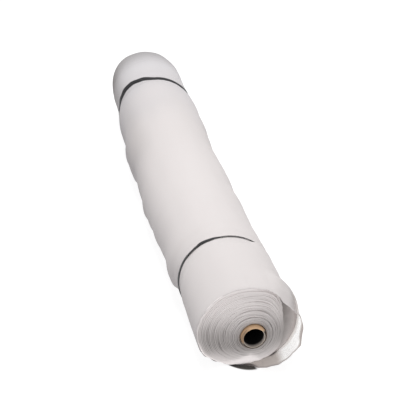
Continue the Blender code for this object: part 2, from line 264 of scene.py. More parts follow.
print("radius on top at mid length:", round(float(roll_radius(0.75, 90.0)), 4), "m")

# %% [markdown]
# ## Writing nodes as sums
# A finish is easier to follow as an expression than as a heap of linked nodes.
# A small class stands for what a node gives, and each + or * on it adds a Math node.
# The same class serves for finishes and for Geometry Nodes.

# %% Helpers for nodes
class Reading:
    """What a node gives: a number, a colour or a shape."""

    def __init__(self, tree, socket):
        self.tree = tree
        self.socket = socket

    def sum(self, operation, first, second):
        return self.tree.node("ShaderNodeMath", {"operation": operation}, {0: first, 1: second})

    def __add__(self, other):
        return self.sum("ADD", self, other)

    def __sub__(self, other):
        return self.sum("SUBTRACT", self, other)

    def __rsub__(self, other):
        return self.sum("SUBTRACT", other, self)

    def __mul__(self, other):
        return self.sum("MULTIPLY", self, other)

    def __truediv__(self, other):
        return self.sum("DIVIDE", self, other)

    def __pow__(self, other):
        return self.sum("POWER", self, other)

    __radd__ = __add__
    __rmul__ = __mul__

    def at_least(self, other):
        """The larger of two numbers."""
        return self.sum("MAXIMUM", self, other)


class Tree:
    """Node tree that is written down node by node."""

    def __init__(self, tree):
        self.tree = tree

    def node(self, kind, settings=None, sockets=None, output=0):
        """Adds one node: its settings first, then the values or links of its sockets."""
        made = self.tree.nodes.new(kind)
        for key, value in (settings or {}).items():
            setattr(made, key, value)
        for key, value in (sockets or {}).items():
            self.feed(made.inputs[key], value)
        return Reading(self, made.outputs[output]) if len(made.outputs) else made

    def feed(self, socket, value):
        if isinstance(value, Reading):
            self.tree.links.new(value.socket, socket)
        else:
            socket.default_value = value

    def work(self, operation, value):
        """Math node with one number."""
        return self.node("ShaderNodeMath", {"operation": operation}, {0: value})

    def step(self, value, low, high):
        """0 at low and beyond, 1 at high and beyond, eased between them."""
        sockets = {"Value": value, "From Min": low, "From Max": high}
        return self.node("ShaderNodeMapRange", {"interpolation_type": "SMOOTHSTEP"}, sockets)

    def vector(self, x=0.0, y=0.0, z=0.0):
        return self.node("ShaderNodeCombineXYZ", {}, {0: x, 1: y, 2: z})

    def noise(self, vector, scale, detail=2.0, seed=0.0):
        """Soft random reading round 0.5."""
        sockets = {"Vector": vector, "W": seed, "Scale": scale, "Detail": detail}
        return self.node("ShaderNodeTexNoise", {"noise_dimensions": "4D"}, sockets)


class Finish(Tree):
    """Material made of readings; what is the same all over is set on the shader itself."""

    def __init__(self, name, **even):
        self.material = bpy.data.materials.new(name)
        self.material.use_nodes = True
        super().__init__(self.material.node_tree)
        self.shader = self.tree.nodes["Principled BSDF"]
        for key, value in even.items():
            self.shader.inputs[key.replace("_", " ")].default_value = value

    def surface(self, key, value):
        """Links a reading to the shader."""
        self.feed(self.shader.inputs[key], value)

    def bump(self, height, strength, distance):
        sockets = {"Strength": strength, "Distance": distance, "Height": height}
        self.surface("Normal", self.node("ShaderNodeBump", {}, sockets))

    def blend(self, share, first, second, way="MIX"):
        """Colour between two colours."""
        settings = {"data_type": "RGBA", "blend_type": way}
        return self.node("ShaderNodeMix", settings, {0: share, 6: first, 7: second}, 2)

    def mark(self, name):
        """Number that the mesh carries at each point, 0 where it carries none."""
        return self.node("ShaderNodeAttribute", {"attribute_name": name}, output=2)

    def mix_in(self, share, kind, settings):
        """Mixes another shader into what the material shows."""
        output = self.tree.nodes["Material Output"].inputs["Surface"]
        shown = output.links[0].from_socket
        other = self.node(kind, {}, settings)
        mixed = self.node("ShaderNodeMixShader", {}, {0: share, 1: Reading(self, shown), 2: other})
        self.feed(output, mixed)

    def glow_through(self, share, colour):
        """Lets light from behind through the threads."""
        self.mix_in(share, "ShaderNodeBsdfTranslucent", {"Color": colour})

    def open_up(self, share):
        """Opens the holes between the threads."""
        self.mix_in(share, "ShaderNodeBsdfTransparent", {})

    def axis(self, vector, number):
        """X, Y or Z of a vector, as 0, 1 or 2."""
        return self.node("ShaderNodeSeparateXYZ", {}, {0: vector}, number)

    def on_object(self):
        return self.node("ShaderNodeTexCoord", output=3)


print("helpers for nodes ready")

# %% [markdown]
# ## The netting's finish
# Debris netting is knitted: rows of stitches run the length of the cloth about 3 mm apart, and thin threads
# zigzag between them. From three metres the holes melt into a soft, slightly warm white.
# The pattern is written in metres of cloth from the piece's own UV map, so it has its true scale everywhere.
# Where the cloth hangs alone its holes are open, which a "loose" mark on the mesh says point by point.

# %% Knitted threads
STITCH_ROW = 0.0032
STITCH = 0.0024
ROUND = 2 * np.pi


def knitted(finish):
    """Height of the knitted threads: stitch rows with a zigzag thread between them."""
    uv = finish.node("ShaderNodeUVMap", {"uv_map": "cloth"})
    across = finish.axis(uv, 0)
    onward = finish.axis(uv, 1)
    rows = (finish.work("COSINE", across * (ROUND / STITCH_ROW)) * 0.5 + 0.5) ** 3.0
    loops = finish.work("COSINE", onward * (ROUND / STITCH)) * 0.15 + 0.85
    sway = finish.work("COSINE", across * (ROUND / 2 / STITCH_ROW)) * 1.6
    zigzag = (finish.work("COSINE", onward * (ROUND / STITCH) + sway) * 0.5 + 0.5) ** 3.0
    return (rows * loops).at_least(zigzag * 0.8)


print("one stitch row is", STITCH_ROW * 1000, "mm wide")

# %% [markdown]
# Two materials share that cloth. Both have painted shade that makes them cooler and darker towards the far
# end.
# The wound one is painted darker between the turns, and the loose one low on the sides; the loose one also
# glows and opens where it hangs alone.

# %% Netting finish
THREAD_COLOUR = (0.72, 0.72, 0.72, 1.0)
GAP_COLOUR = (0.57, 0.57, 0.57, 1.0)
EDGE_COLOUR = (0.93, 0.93, 0.93, 1.0)
NEAR_TINT = (1.0, 0.943, 0.935, 1.0)
# Painted shade: the next tint makes the netting darker and cooler towards the far end.
FAR_SHADE_TINT = (0.905, 0.88, 0.912, 1.0)
END_TINT = (1.0, 0.975, 1.0, 1.0)
# Painted shade: the next tint darkens the loose turn low on its sides.
LOW_SIDE_SHADE_TINT = (0.52, 0.515, 0.53, 1.0)
# Colour of the painted shade between the turns, in the pocket and on the loose turn.
DEEP_COLOUR = (0.16, 0.145, 0.138, 1.0)
GLOW_COLOUR = (0.96, 0.915, 0.885, 1.0)
WHITE = (1.0, 1.0, 1.0, 1.0)
FAR_SHADE_TINT_Y = (0.3, 1.0)
END_TINT_Y = (0.48, 0.60)
MORE_LOW_SIDE_SHADE_Y = (-0.15, 0.15)
LOW_SIDE_SHADE_HEIGHT = (0.205, 0.045)
THREADS_SHOW = (0.1, 0.7)
THREADS_CLOSE = (0.55, 0.90)


def netting_cloth(finish, thread_colour):
    """Relief of the netting and its colour: threads and gaps, with painted shade that makes it cooler and
    darker far off.
    """
    threads = knitted(finish)
    spot = finish.on_object()
    y = finish.axis(spot, 1)
    # Painted shade, darker and cooler towards the far end.
    far = finish.step(y + finish.noise(spot, 7.0) * 0.4, *FAR_SHADE_TINT_Y)
    far_shade_tint = finish.blend(finish.step(y, *END_TINT_Y), FAR_SHADE_TINT, END_TINT)
    cloth = finish.blend(finish.step(threads, *THREADS_SHOW), GAP_COLOUR, thread_colour)
    tinted = finish.blend(1.0, cloth, finish.blend(far, NEAR_TINT, far_shade_tint), "MULTIPLY")
    finish.bump(threads * 0.35 + finish.noise(spot, 28.0, 3.0) * 0.9, 0.35, 0.0006)
    return threads, tinted


def wound_finish():
    """Netting in the roll, light on the folded edges and painted darker in the gaps between them, as shade.
    """
    finish = Finish("netting_wound", Roughness=0.65, Specular_IOR_Level=0.25)
    _, tinted = netting_cloth(finish, EDGE_COLOUR)
    # Painted shade: the two marks darken the cloth where little light falls.
    shaded = finish.mark("depth") + finish.mark("recess")
    finish.surface("Base Color", finish.blend(shaded, tinted, DEEP_COLOUR))
    return finish.material


def loose_finish():
    """Netting of the outermost turn: painted shade low on the sides, and sheer where it hangs alone."""
    finish = Finish("netting_loose", Roughness=0.65, Specular_IOR_Level=0.25)
    threads, tinted = netting_cloth(finish, THREAD_COLOUR)
    loose = finish.mark("loose")
    spot = finish.on_object()
    # Painted shade: darker low on the sides, and more so towards the far end.
    more = finish.step(finish.axis(spot, 1), *MORE_LOW_SIDE_SHADE_Y) * 0.55 + 1
    low_shade = finish.step(finish.axis(spot, 2), *LOW_SIDE_SHADE_HEIGHT) * (1 - loose) * more
    low_shaded = finish.blend(1.0, tinted, finish.blend(low_shade, WHITE, LOW_SIDE_SHADE_TINT), "MULTIPLY")
    finish.surface("Base Color", finish.blend(finish.mark("depth"), low_shaded, DEEP_COLOUR))
    finish.glow_through(finish.mark("glow"), GLOW_COLOUR)
    finish.open_up(loose * (1 - finish.step(threads, *THREADS_CLOSE)))
    return finish.material


netting_wound = wound_finish()
netting_loose = loose_finish()
print("finishes:", netting_wound.name, netting_loose.name)

# %% [markdown]
# ## Meshes over grids of points
# Most pieces of the roll are rows of points that run round it.
# One helper skins such a grid with four-sided faces and gives it a UV map in metres of cloth.

# %% Grid helper
def skin(name, points, cloth, closed_rows=False, closed_columns=False, marks=None):
    """Mesh over a grid of points; cloth gives U and V at each corner, marks the numbers at each point."""
    rows, columns = points.shape[:2]
    down = np.arange(rows if closed_rows else rows - 1)
    right = np.arange(columns if closed_columns else columns - 1)
    i, j = (axis.ravel() for axis in np.meshgrid(down, right, indexing="ij"))
    after_i, after_j = i + 1, j + 1
    corners = [(i, j), (after_i, j), (after_i, after_j), (i, after_j)]
    faces = np.stack([(a % rows) * columns + b % columns for a, b in corners], axis=1)
    mesh = bpy.data.meshes.new(name)
    mesh.from_pydata(points.reshape(-1, 3).tolist(), [], faces.tolist())
    layer = mesh.uv_layers.new(name="cloth")
    layer.data.foreach_set("uv", np.stack([cloth[a, b] for a, b in corners], axis=1).ravel())
    for mark, values in (marks or {}).items():
        mesh.attributes.new(mark, "FLOAT", "POINT").data.foreach_set("value", values.ravel())
    mesh.shade_smooth()
    return add_object(name, mesh)


def finished(piece, material, slot_name, *nodes):
    """Gives a piece its finish, hangs it on the root body and hides the solids it stands for."""
    piece.data.materials.clear()
    piece.data.materials.append(material)
    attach(piece, "root")
    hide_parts(*nodes)
    print(piece.name, "has", len(piece.data.polygons), "faces")


# %% [markdown]
# ## The near end
# The wound turns make a shallow cone, nearest to the viewer round the tube.
# Round it the outermost turn stands clear, most of all on the right, and leaves a pocket.
# A row of NEAR_LIP holds an angle, the place along of that turn's edge, its gap to the wound turns and the
# pocket's depth. LIP_BEND says how far the loose edge curls out, and RIM_BACK how far the rim of the wound
# turns lies back. The last two tables are the steps of the end faces, from the tube at 0 to the rim at 1.

# %% Tables of the two ends
NEAR_LIP = [
    (0, 0.002, 0.0356, 0.080), (11, 0.001, 0.0360, 0.088), (26, 0.001, 0.0305, 0.092),
    (36, 0.000, 0.0230, 0.086), (42, 0.002, 0.0170, 0.070), (48, 0.005, 0.0129, 0.055),
    (54, 0.010, 0.0070, 0.040), (61, 0.017, 0.0022, 0.020), (68, 0.020, 0.0012, 0.010),
    (90, 0.025, 0.0012, 0.008), (135, 0.031, 0.0012, 0.008), (180, 0.038, 0.0012, 0.008),
    (208, 0.046, 0.0014, 0.008), (230, 0.058, 0.0026, 0.010),
    (243, 0.063, 0.0026, 0.014), (255, 0.064, 0.0022, 0.018), (266, 0.057, 0.0024, 0.022),
    (277, 0.048, 0.0063, 0.030), (286, 0.035, 0.0140, 0.042), (296, 0.023, 0.0176, 0.050),
    (312, 0.010, 0.0190, 0.057), (321, 0.004, 0.0208, 0.064), (335, 0.001, 0.0282, 0.070),
    (350, 0.001, 0.0350, 0.074), (360, 0.002, 0.0356, 0.080),
]
LIP_BEND = [
    (0, 0.0052), (8, 0.0066), (14, 0.0052), (20, 0.0024), (28, -0.0012), (37, -0.0056), (47, -0.0056),
    (57, -0.0015), (68, 0.0), (270, 0.0), (285, -0.0020), (300, -0.0025), (318, -0.0025), (329, -0.0016),
    (336, 0.0028), (343, 0.0066), (351, 0.0060), (360, 0.0052),
]
BEND_REACH = 0.040
RIM_BACK = [
    (0, -0.002), (45, -0.0070), (90, -0.0080), (135, -0.004), (180, 0.001), (208, 0.008), (230, 0.020),
    (243, 0.0240), (255, 0.0240), (266, 0.0205), (277, 0.0160), (290, 0.011), (312, 0.006), (335, 0.002),
    (360, -0.002),
]
NEAR_FACE = [
    (0.00, 0.0032), (0.04, 0.0014), (0.12, 0.0007), (0.19, 0.0023), (0.21, 0.0043), (0.24, 0.0036),
    (0.35, 0.0065), (0.385, 0.0107), (0.41, 0.0105), (0.43, 0.0094), (0.62, 0.0149), (0.78, 0.0201),
    (0.90, 0.0240), (0.93, 0.0260), (0.96, 0.0262), (1.00, 0.0272),
]
FAR_FACE = [
    (0.00, 0.0020), (0.30, 0.0000), (0.38, 0.0060), (0.68, 0.0050), (0.76, 0.0100), (0.94, 0.0110),
    (1.00, 0.0170),
]
SHEET = 0.0022
TIGHT_GAP = 0.0012
TUBE_CLEARANCE = 0.0010
NEAR_FACE_START = 0.0085
NEAR_FACE_TILT = 0.002
FAR_FACE_START = 0.016
FAR_FACE_TILT = 0.003
FAR_DRAWN_IN = 0.0062


def ramp(table, at):
    """Straight reading of a table, which keeps its corners."""
    places, values = zip(*table)
    return np.interp(at, places, values)


def lip(degrees):
    """Edge of the outermost turn, its gap to the wound turns and the pocket's depth."""
    return [read_round(NEAR_LIP, degrees, column) for column in (1, 2, 3)]


def bend(behind, degrees):
    """How far the loose edge bends out, or in where it is below 0; behind is the distance from that edge."""
    return read_round(LIP_BEND, degrees) * fade(BEND_REACH, 0.0, behind)


def turn_middle(along, share):
    """X and height of a turn's middle, from the tube's at share 0 to the roll's at share 1."""
    return TUBE_X + (middle(along) - TUBE_X) * share, TUBE_HEIGHT + (ROLL_HEIGHT - TUBE_HEIGHT) * share


def near_face(share, degrees):
    """Middle, radius and place of the near end's turns, share 0 at the tube and 1 at the rim."""
    edge, gap, _ = lip(degrees)
    inner = TUBE_RADIUS + TUBE_CLEARANCE
    full = roll_radius(edge, degrees) - SHEET
    radius = inner + (full - inner) * share - (gap - TIGHT_GAP) * share**2.4
    tilt = NEAR_FACE_TILT * (1 - share) * np.sin(np.radians(degrees))
    along = NEAR_FACE_START + ramp(NEAR_FACE, share) + read_round(RIM_BACK, degrees) * share**2 + tilt
    return *turn_middle(edge, share), radius, along


def far_face(share, degrees):
    """Middle, radius and place of the far end's turns."""
    inner = TUBE_RADIUS + TUBE_CLEARANCE
    radius = inner + (roll_radius(NETTING_END, degrees) - inner) * share - FAR_DRAWN_IN * share**3
    tilt = FAR_FACE_TILT * np.sin(np.radians(degrees)) * share
    along = TUBE_LENGTH - FAR_FACE_START - ramp(FAR_FACE, share) + tilt
    return *turn_middle(NETTING_END, share), radius, along


print("the loose turn stands clear by up to", max(row[2] for row in NEAR_LIP), "m")

# %% [markdown]
# ## The wound body
# One closed body stands for the hundred turns that nobody sees, from the bore out to just under the
# outermost turn. Rings of points run from the near end over the outside to the far end and back in the bore.
# Its end faces lie a little deeper than the turns' edges, which are pieces of their own.

# %% Wound body
UNDER = 0.0036
FACE_UNDER = 0.0070
FACE_RINGS = 22
FAR_RINGS = 12
ROUND_STEPS = 168
POCKET_SHARES = (0.1, 0.25, 0.4, 0.55, 0.7, 0.85, 1.0)
BODY_START = 0.14
BODY_END = 1.46
BODY_STEP = 0.012
BORE_RINGS = (1.1, 0.7, 0.35)
LEAST_POCKET = 0.004
WALL_RISE = 0.0004
FAR_CLEARANCE = 0.0015


def body_rings():
    """Points of the wound body, ring after ring: near face, pocket, outside, far face and bore."""
    degrees = np.linspace(0, 360, ROUND_STEPS, endpoint=False)
    edge, gap, depth = lip(degrees)
    rings = []
    for share in np.linspace(0, 1, FACE_RINGS):
        x, height, radius, along = near_face(share, degrees)
        rings.append(place(x, height, radius, degrees, along + FACE_UNDER))
    rim = along + FACE_UNDER
    floor = np.maximum(edge + depth, rim + LEAST_POCKET)
    body = roll_radius(edge, degrees) - SHEET - gap + WALL_RISE
    body_floor = roll_radius(floor, degrees) - UNDER
    for share in POCKET_SHARES:
        along = rim + (floor - rim) * share
        radius = body + (body_floor - body) * share**2.2
        rings.append(place(middle(along), ROLL_HEIGHT, radius, degrees, along))
    for start in np.arange(BODY_START, BODY_END, BODY_STEP):
        along = np.maximum(start, floor + 0.002 + (start - BODY_START) * 0.02)
        radius = roll_radius(along, degrees) - UNDER
        rings.append(on_roll(radius, degrees, along))
    for share in np.linspace(1, 0, FAR_RINGS):
        x, height, radius, along = far_face(share, degrees)
        rings.append(place(x, height, radius - FAR_CLEARANCE * share, degrees, along - FACE_UNDER))
    for start in BORE_RINGS:
        rings.append(place(TUBE_X, TUBE_HEIGHT, TUBE_RADIUS + TUBE_CLEARANCE, degrees, start + 0 * degrees))
    return np.array(rings)


def cloth_map(points, closed_rows, closed_columns):
    """U across the cloth, along the roll, and V onward, round the roll, in metres."""
    rows = np.concatenate([points, points[:1]]) if closed_rows else points
    grid = np.concatenate([rows, rows[:, :1]], axis=1) if closed_columns else rows
    across = np.concatenate([[0], np.cumsum(np.linalg.norm(np.diff(grid[:, 0], axis=0), axis=1))])
    girth = 2 * np.pi * ROLL_RADIUS
    onward = np.linspace(0, girth, grid.shape[1])
    return np.stack(np.meshgrid(across, onward, indexing="ij"), axis=-1)


rings = body_rings()
print("rings of the wound body:", len(rings))

# %% [markdown]
# Little light reaches the crevice between the wound turns and the loose one. Each point of the body carries
# a "depth" mark that the finish turns into painted shade: 1 on the face under the turns' edges, about 0.7 in
# the outer half of the pocket, and little at its floor, where the loose turn's own shadow is enough.

# %% Shade in the pocket
POCKET_SHADE = (0.67, 0.67, 0.70, 0.68, 0.56, 0.36, 0.10)
OPEN_GAP = (0.003, 0.012)
POCKET_MOUTH = (0, 14, 45, 60)
MOST_SHADE = 0.95

shade = np.zeros(rings.shape[:2])
shade[:FACE_RINGS] = 1.0
around = np.linspace(0, 360, ROUND_STEPS, endpoint=False)
opened = fade(*OPEN_GAP, lip(around)[1]) * (1 + 0.12 * between(around, *POCKET_MOUTH))
pocket = opened * np.array(POCKET_SHADE)[:, None]
shade[FACE_RINGS:FACE_RINGS + len(POCKET_SHARES)] = np.minimum(pocket, MOST_SHADE)
wound_body = skin("wound_body", rings, cloth_map(rings, True, True), True, True, {"depth": shade})
finished(wound_body, netting_wound, "netting", "netting")

# %% [markdown]
# ## The turns' edges
# At both ends of the roll the wound turns show as one long spiral of folded edges, never quite level:
# groups of turns stand proud or lie back, and they crowd and part as they go round.
# The edge of the cloth follows a path, so Geometry Nodes sweep a rounded strip along a spiral, and
# a random reading that changes slowly round the roll and quickly from turn to turn makes it uneven.

# %% The spiral path
def spiral_path(name, face, turns, steps, up):
    """Curve through the tops of the turns; up is 1 where its Z becomes -Y and -1 where it becomes +Y."""
    turn = np.linspace(0, turns, turns * steps + 1)
    degrees = -360.0 * turn
    x, height, radius, along = face(turn / turns, degrees)
    points = place(x, height, radius, degrees, along)
    curve = bpy.data.curves.new(name, "CURVE")
    curve.dimensions = "3D"
    line = curve.splines.new("POLY")
    line.points.add(len(points) - 1)
    flat = np.stack([points[:, 0], points[:, 2] * up, points[:, 1] * -up, np.ones(len(points))], axis=1)
    line.points.foreach_set("co", flat.ravel())
    return add_object(name, curve)


print("spiral path helper ready")

# %% [markdown]
# The tree has a named input for each size. Its profile is a strip with rounded corners, as thick as a group
# of turns and as deep as the part of them that can show. The path lies flat while the strip is swept,
# because a curve's Z-up normals then keep the strip upright, and the last step turns it to face the end.

# %% Tree that sweeps the turns
class Sweep(Tree):
    """Geometry Nodes tree with named inputs."""

    def __init__(self, name, sizes):
        super().__init__(bpy.data.node_groups.new(name, "GeometryNodeTree"))
        self.keys = {}
        self.add_input("Path", "NodeSocketGeometry")
        for size in sizes:
            self.add_input(size, "NodeSocketFloat")
        self.add_input("Material", "NodeSocketMaterial")
        self.tree.interface.new_socket("Turns", in_out="OUTPUT", socket_type="NodeSocketGeometry")
        self.given = self.tree.nodes.new("NodeGroupInput").outputs

    def add_input(self, name, kind):
        made = self.tree.interface.new_socket(name, in_out="INPUT", socket_type=kind)
        self.keys[name] = made.identifier

    def input(self, name):
        return Reading(self, self.given[name])


sweep = Sweep("turn_edges", [
    "Turn Count", "Steps per Turn", "Turn Thickness", "Turn Depth", "Unevenness", "Group Step",
    "Group Roundness", "Turns in Group", "Crowding", "Side Shade", "Seed", "Facing",
])
print("inputs:", ", ".join(sweep.keys))

# %% [markdown]
# The points of the path are moved first. A slow wave lifts and lowers each turn, whole groups of turns stand
# proud by chance, each group falls away towards its borders, and the turns crowd here and part there.

# %% How uneven the turns are
WAVE_SCALE = 1.1
CROWD_SCALE = 1.6
CROWD_SEED = 7.0

turn = sweep.node("GeometryNodeSplineParameter", output=2) / sweep.input("Steps per Turn")
angle = turn * -ROUND
cosine, sine = sweep.work("COSINE", angle), sweep.work("SINE", angle)
spot = sweep.vector(cosine, sine, turn * 0.5)
slow = (sweep.noise(spot, WAVE_SCALE, 2.0, sweep.input("Seed")) - 0.5) * sweep.input("Unevenness")
group = turn / sweep.input("Turns in Group")
number = sweep.vector(sweep.work("FLOOR", group), sweep.input("Seed"))
luck = sweep.node("ShaderNodeTexWhiteNoise", {"noise_dimensions": "2D"}, {"Vector": number})
hollow = sweep.work("ABSOLUTE", sweep.work("FRACT", group) * 2 - 1) ** 2.0
beside = sweep.work("ABSOLUTE", cosine) ** 2.5
roundness = sweep.input("Group Roundness") * (beside * 0.8 + 0.3)
lift = slow + (luck - 0.5) * sweep.input("Group Step") - hollow * roundness
crowding = sweep.noise(spot, CROWD_SCALE, 1.0, sweep.input("Seed") + CROWD_SEED)
crowd = (crowding - 0.5) * sweep.input("Crowding")
offset = sweep.vector(cosine * crowd, sine * crowd, lift)
moved = sweep.node("GeometryNodeSetPosition", {}, {0: sweep.input("Path"), "Offset": offset})
print("nodes so far:", len(sweep.tree.nodes))

# %% [markdown]
# Then each point is marked with how much shade the finish paints between the turns there. There is most in a
# broad band just under the tube's height, in the hollows between the groups and close to the tube. The light
# ground clears it low on the face, and on the rim low on the left, at the cloth's hem, none is painted.

# %% Shade between the turns
BAND_DROP = 0.021
BAND_HEIGHT = 0.065
BAND_SHADE = 0.50
HOLLOW_SHADE = 0.14
LEFT_SHADE = 0.08
OUTER_SHADE = 0.12
LEFT_RIM_LIGHT = 0.6
RIGHT_SHADE = 0.07
UPPER_SHADE = 0.03
TUBE_SHADE = 0.20
EVEN_SHADE = 0.03
LOW_RIM = (0.15, 0.43)
HEM_SHARE = (0.93, 0.97)
HEM_LOW_LEFT = (0.75, 1.0)

share = turn / sweep.input("Turn Count")
reach = share * (ROLL_RADIUS - TUBE_RADIUS) + TUBE_RADIUS
height = (sine * reach + BAND_DROP) / BAND_HEIGHT
left = (cosine * -1.0).at_least(0.0)
in_band = hollow * HOLLOW_SHADE + left * LEFT_SHADE + share * OUTER_SHADE + BAND_SHADE
band = sweep.work("EXPONENT", height * height * -1.0) * in_band
band = band * (1 - share ** 12.0 * left * LEFT_RIM_LIGHT)
right = (cosine + sine * 0.8).at_least(0.0) ** 2.0 * RIGHT_SHADE
upper = sine.at_least(0.0) * UPPER_SHADE
low_rim = sweep.step((sine + sweep.work("ABSOLUTE", cosine + 0.05) * 1.5) * share * -1.0, *LOW_RIM)
by_tube = sweep.work("EXPONENT", share * -5.0) * TUBE_SHADE
hem = sweep.step(share, *HEM_SHARE) * sweep.step(cosine * -0.6 - sine, *HEM_LOW_LEFT)
parted = ((band + right + upper) * (1 - low_rim) + by_tube + EVEN_SHADE) * (1 - hem)
# The "recess" mark is painted shade, which the wound netting's finish turns into darker colour.
shaded = {0: moved, "Name": "recess", "Value": parted * sweep.input("Side Shade")}
moved = sweep.node("GeometryNodeStoreNamedAttribute", {}, shaded)
print("nodes so far:", len(sweep.tree.nodes))

# %% [markdown]
# Last comes the strip itself. Its profile is marked with its own depth, so that the finish paints each turn
# light on its folded edge and in shade further down, and a Curve to Mesh node sweeps it along the moved path.

# %% Sweep the strip
CORNER = 0.40
SHADE_GROWTH = 0.9
SHADE_START = 0.25

upright = sweep.node("GeometryNodeSetCurveNormal", {"mode": "Z_UP"}, {0: moved})
thickness, deep = sweep.input("Turn Thickness"), sweep.input("Turn Depth")
strip = sweep.node("GeometryNodeCurvePrimitiveQuadrilateral", {}, {0: thickness, 1: deep})
corner = {0: strip, "Count": 2, "Radius": thickness * CORNER}
rounded = sweep.node("GeometryNodeFilletCurve", {"mode": "POLY"}, corner)
lowered = sweep.node("GeometryNodeTransform", {}, {0: rounded, "Translation": sweep.vector(0.0, deep * 0.5)})
below = sweep.node("ShaderNodeSeparateXYZ", {}, {0: sweep.node("GeometryNodeInputPosition")}, 1) / deep
add_up = {"operation": "MULTIPLY_ADD", "use_clamp": True}
deeper = sweep.node("ShaderNodeMath", add_up, {0: below, 1: SHADE_GROWTH, 2: -SHADE_START})
marked = sweep.node("GeometryNodeStoreNamedAttribute", {}, {0: lowered, "Name": "depth", "Value": deeper})
swept = sweep.node("GeometryNodeCurveToMesh", {}, {0: upright, 1: marked, "Fill Caps": True})
facing = sweep.node("GeometryNodeTransform", {}, {0: swept, "Rotation": sweep.vector(sweep.input("Facing"))})
smooth = sweep.node("GeometryNodeSetShadeSmooth", {}, {0: facing})
real = sweep.node("GeometryNodeRealizeInstances", {}, {0: smooth})
dressed = sweep.node("GeometryNodeSetMaterial", {}, {0: real, "Material": sweep.input("Material")})
sweep.node("NodeGroupOutput", {}, {0: dressed})
print("nodes in the tree:", len(sweep.tree.nodes))

# %% [markdown]
# The tree is run once for each end, and its result becomes a plain mesh.
# The turns at the far end were cut straighter, so they stand out less.

# %% Turns' edges at both ends
def run_tree(path, name, **sizes):
    """Plain mesh that the tree makes of a path; sizes are its inputs by name."""
    run = path.modifiers.new("turns", "NODES")
    run.node_group = sweep.tree
    for size, value in sizes.items():
        run[sweep.keys[size.replace("_", " ")]] = value
    graph = bpy.context.evaluated_depsgraph_get()
    mesh = bpy.data.meshes.new_from_object(path.evaluated_get(graph), depsgraph=graph)
    mesh.name = name
    path.modifiers.remove(run)
    bpy.data.objects.remove(path)
    return add_object(name, mesh)


def turns_at_end(name, face, count, steps, up, **sizes):
    """Turns' edges of one end, swept and finished."""
    path = spiral_path(name + "_path", face, count, steps, up)
    sizes.update(Turn_Count=float(count), Steps_per_Turn=float(steps), Facing=up * np.pi / 2)
    turns = run_tree(path, name, Material=netting_wound, **sizes)
    finished(turns, netting_wound, "netting", "netting")


turns_at_end(
    "near_turns", near_face, 28, 144, up=1, Turn_Thickness=0.0037, Turn_Depth=0.012, Unevenness=0.0080,
    Group_Step=0.0016, Group_Roundness=0.0012, Turns_in_Group=3.0, Crowding=0.0020, Side_Shade=1.0, Seed=4.0,
)
turns_at_end(
    "far_turns", far_face, 22, 96, up=-1, Turn_Thickness=0.0036, Turn_Depth=0.010, Unevenness=0.0040,
    Group_Step=0.0012, Group_Roundness=0.0010, Turns_in_Group=2.0, Crowding=0.0012, Side_Shade=0.2, Seed=9.0,
)

# %% [markdown]
# ## The outermost turn
# The last turn of the cloth is a sheet of its own. It starts tucked under itself low on the left, goes once
# round the roll under both straps, and ends there in a wavy free edge. At the near end it stands clear.
# It is a grid of points over the tables with soft creases added, made 0.7 mm thick by Solidify.

# %% Creases of the cloth
BROAD_CREASE = 0.00028
FINE_CREASE = 0.00011
PLEAT = 0.0003
PLEATS_ROUND = 46

dice = np.random.default_rng(11)
BROAD = dice.uniform(-1, 1, (7, 4))
FINE = dice.uniform(-1, 1, (9, 4))


def creases(along, degrees):
    """Small rise and fall of the cloth, none of it under the straps."""
    turn = np.radians(degrees)
    broad = sum(np.sin(along * (14 + 16 * a) + (2 + round(2 * b)) * turn + 6 * c + d) for a, b, c, d in BROAD)
    fine = sum(np.sin(along * (10 + 22 * a) + (9 + round(5 * b)) * turn + 6 * c + d) for a, b, c, d in FINE)
    held = cinch(along) / CINCH_DEPTH
    pleats = np.sin(PLEATS_ROUND * turn + 5 * np.sin(3 * turn)) * between(held, 0, 0.5, 0.6, 1.0)
    return (broad * BROAD_CREASE + fine * FINE_CREASE) * (1 - held) + pleats * PLEAT


print("crease at mid length:", round(float(creases(0.75, 90.0)) * 1000, 2), "mm")

# %% [markdown]
# The sheet's points stand in rows, closer together where it folds: near the loose end, at the straps and at
# the far rim. The first row follows the loose edge, which goes round in straight facets between creases.

# %% Rows of the outermost turn
COLUMNS = 181
TUCKED_FROM = -175.0
FREE_EDGE_ANGLE = 205.0
FREE_EDGE_SPREAD = 26.0
FACET_FLATNESS = 1.3
EDGE_CREASES = np.array([-70.0, -52.0, -34.0, -18.0, 2.0, 20.0, 38.0, 60.0])
ROW_PLACES = np.unique(np.concatenate([
    np.arange(0, 0.2, 0.006), [0.0015], np.arange(0.2, 1.46, 0.0125), np.arange(0.218, 0.315, 0.0055),
    np.arange(0.2455, 0.262, 0.0018), np.arange(1.232, 1.33, 0.0055), np.arange(1.424, 1.486, 0.003),
    np.arange(1.486, 1.511, 0.006),
]).round(4))


def free_edge_angle(along):
    """Where round the roll the cloth ends."""
    wave = np.sin(along * 31) + np.sin(along * 53 + 1.0) + 0.6 * np.sin(along * 97 + 2.0)
    return FREE_EDGE_ANGLE + 1.0 + 1.1 * wave


def cloth_grid():
    """Distance along and angle of every point of the outermost turn."""
    start = ROW_PLACES[:, None]
    share = np.linspace(0, 1, COLUMNS)[None, :]
    degrees = TUCKED_FROM + (free_edge_angle(start) - TUCKED_FROM) * share
    along = start + lip(degrees)[0] * fade(0.2, 0.0, start) * (1 + 0.03 * np.sin(share * 140))
    along = along + 0.010 * fade(1.44, 1.51, start) * hill(degrees, 130, 35)
    return along, degrees


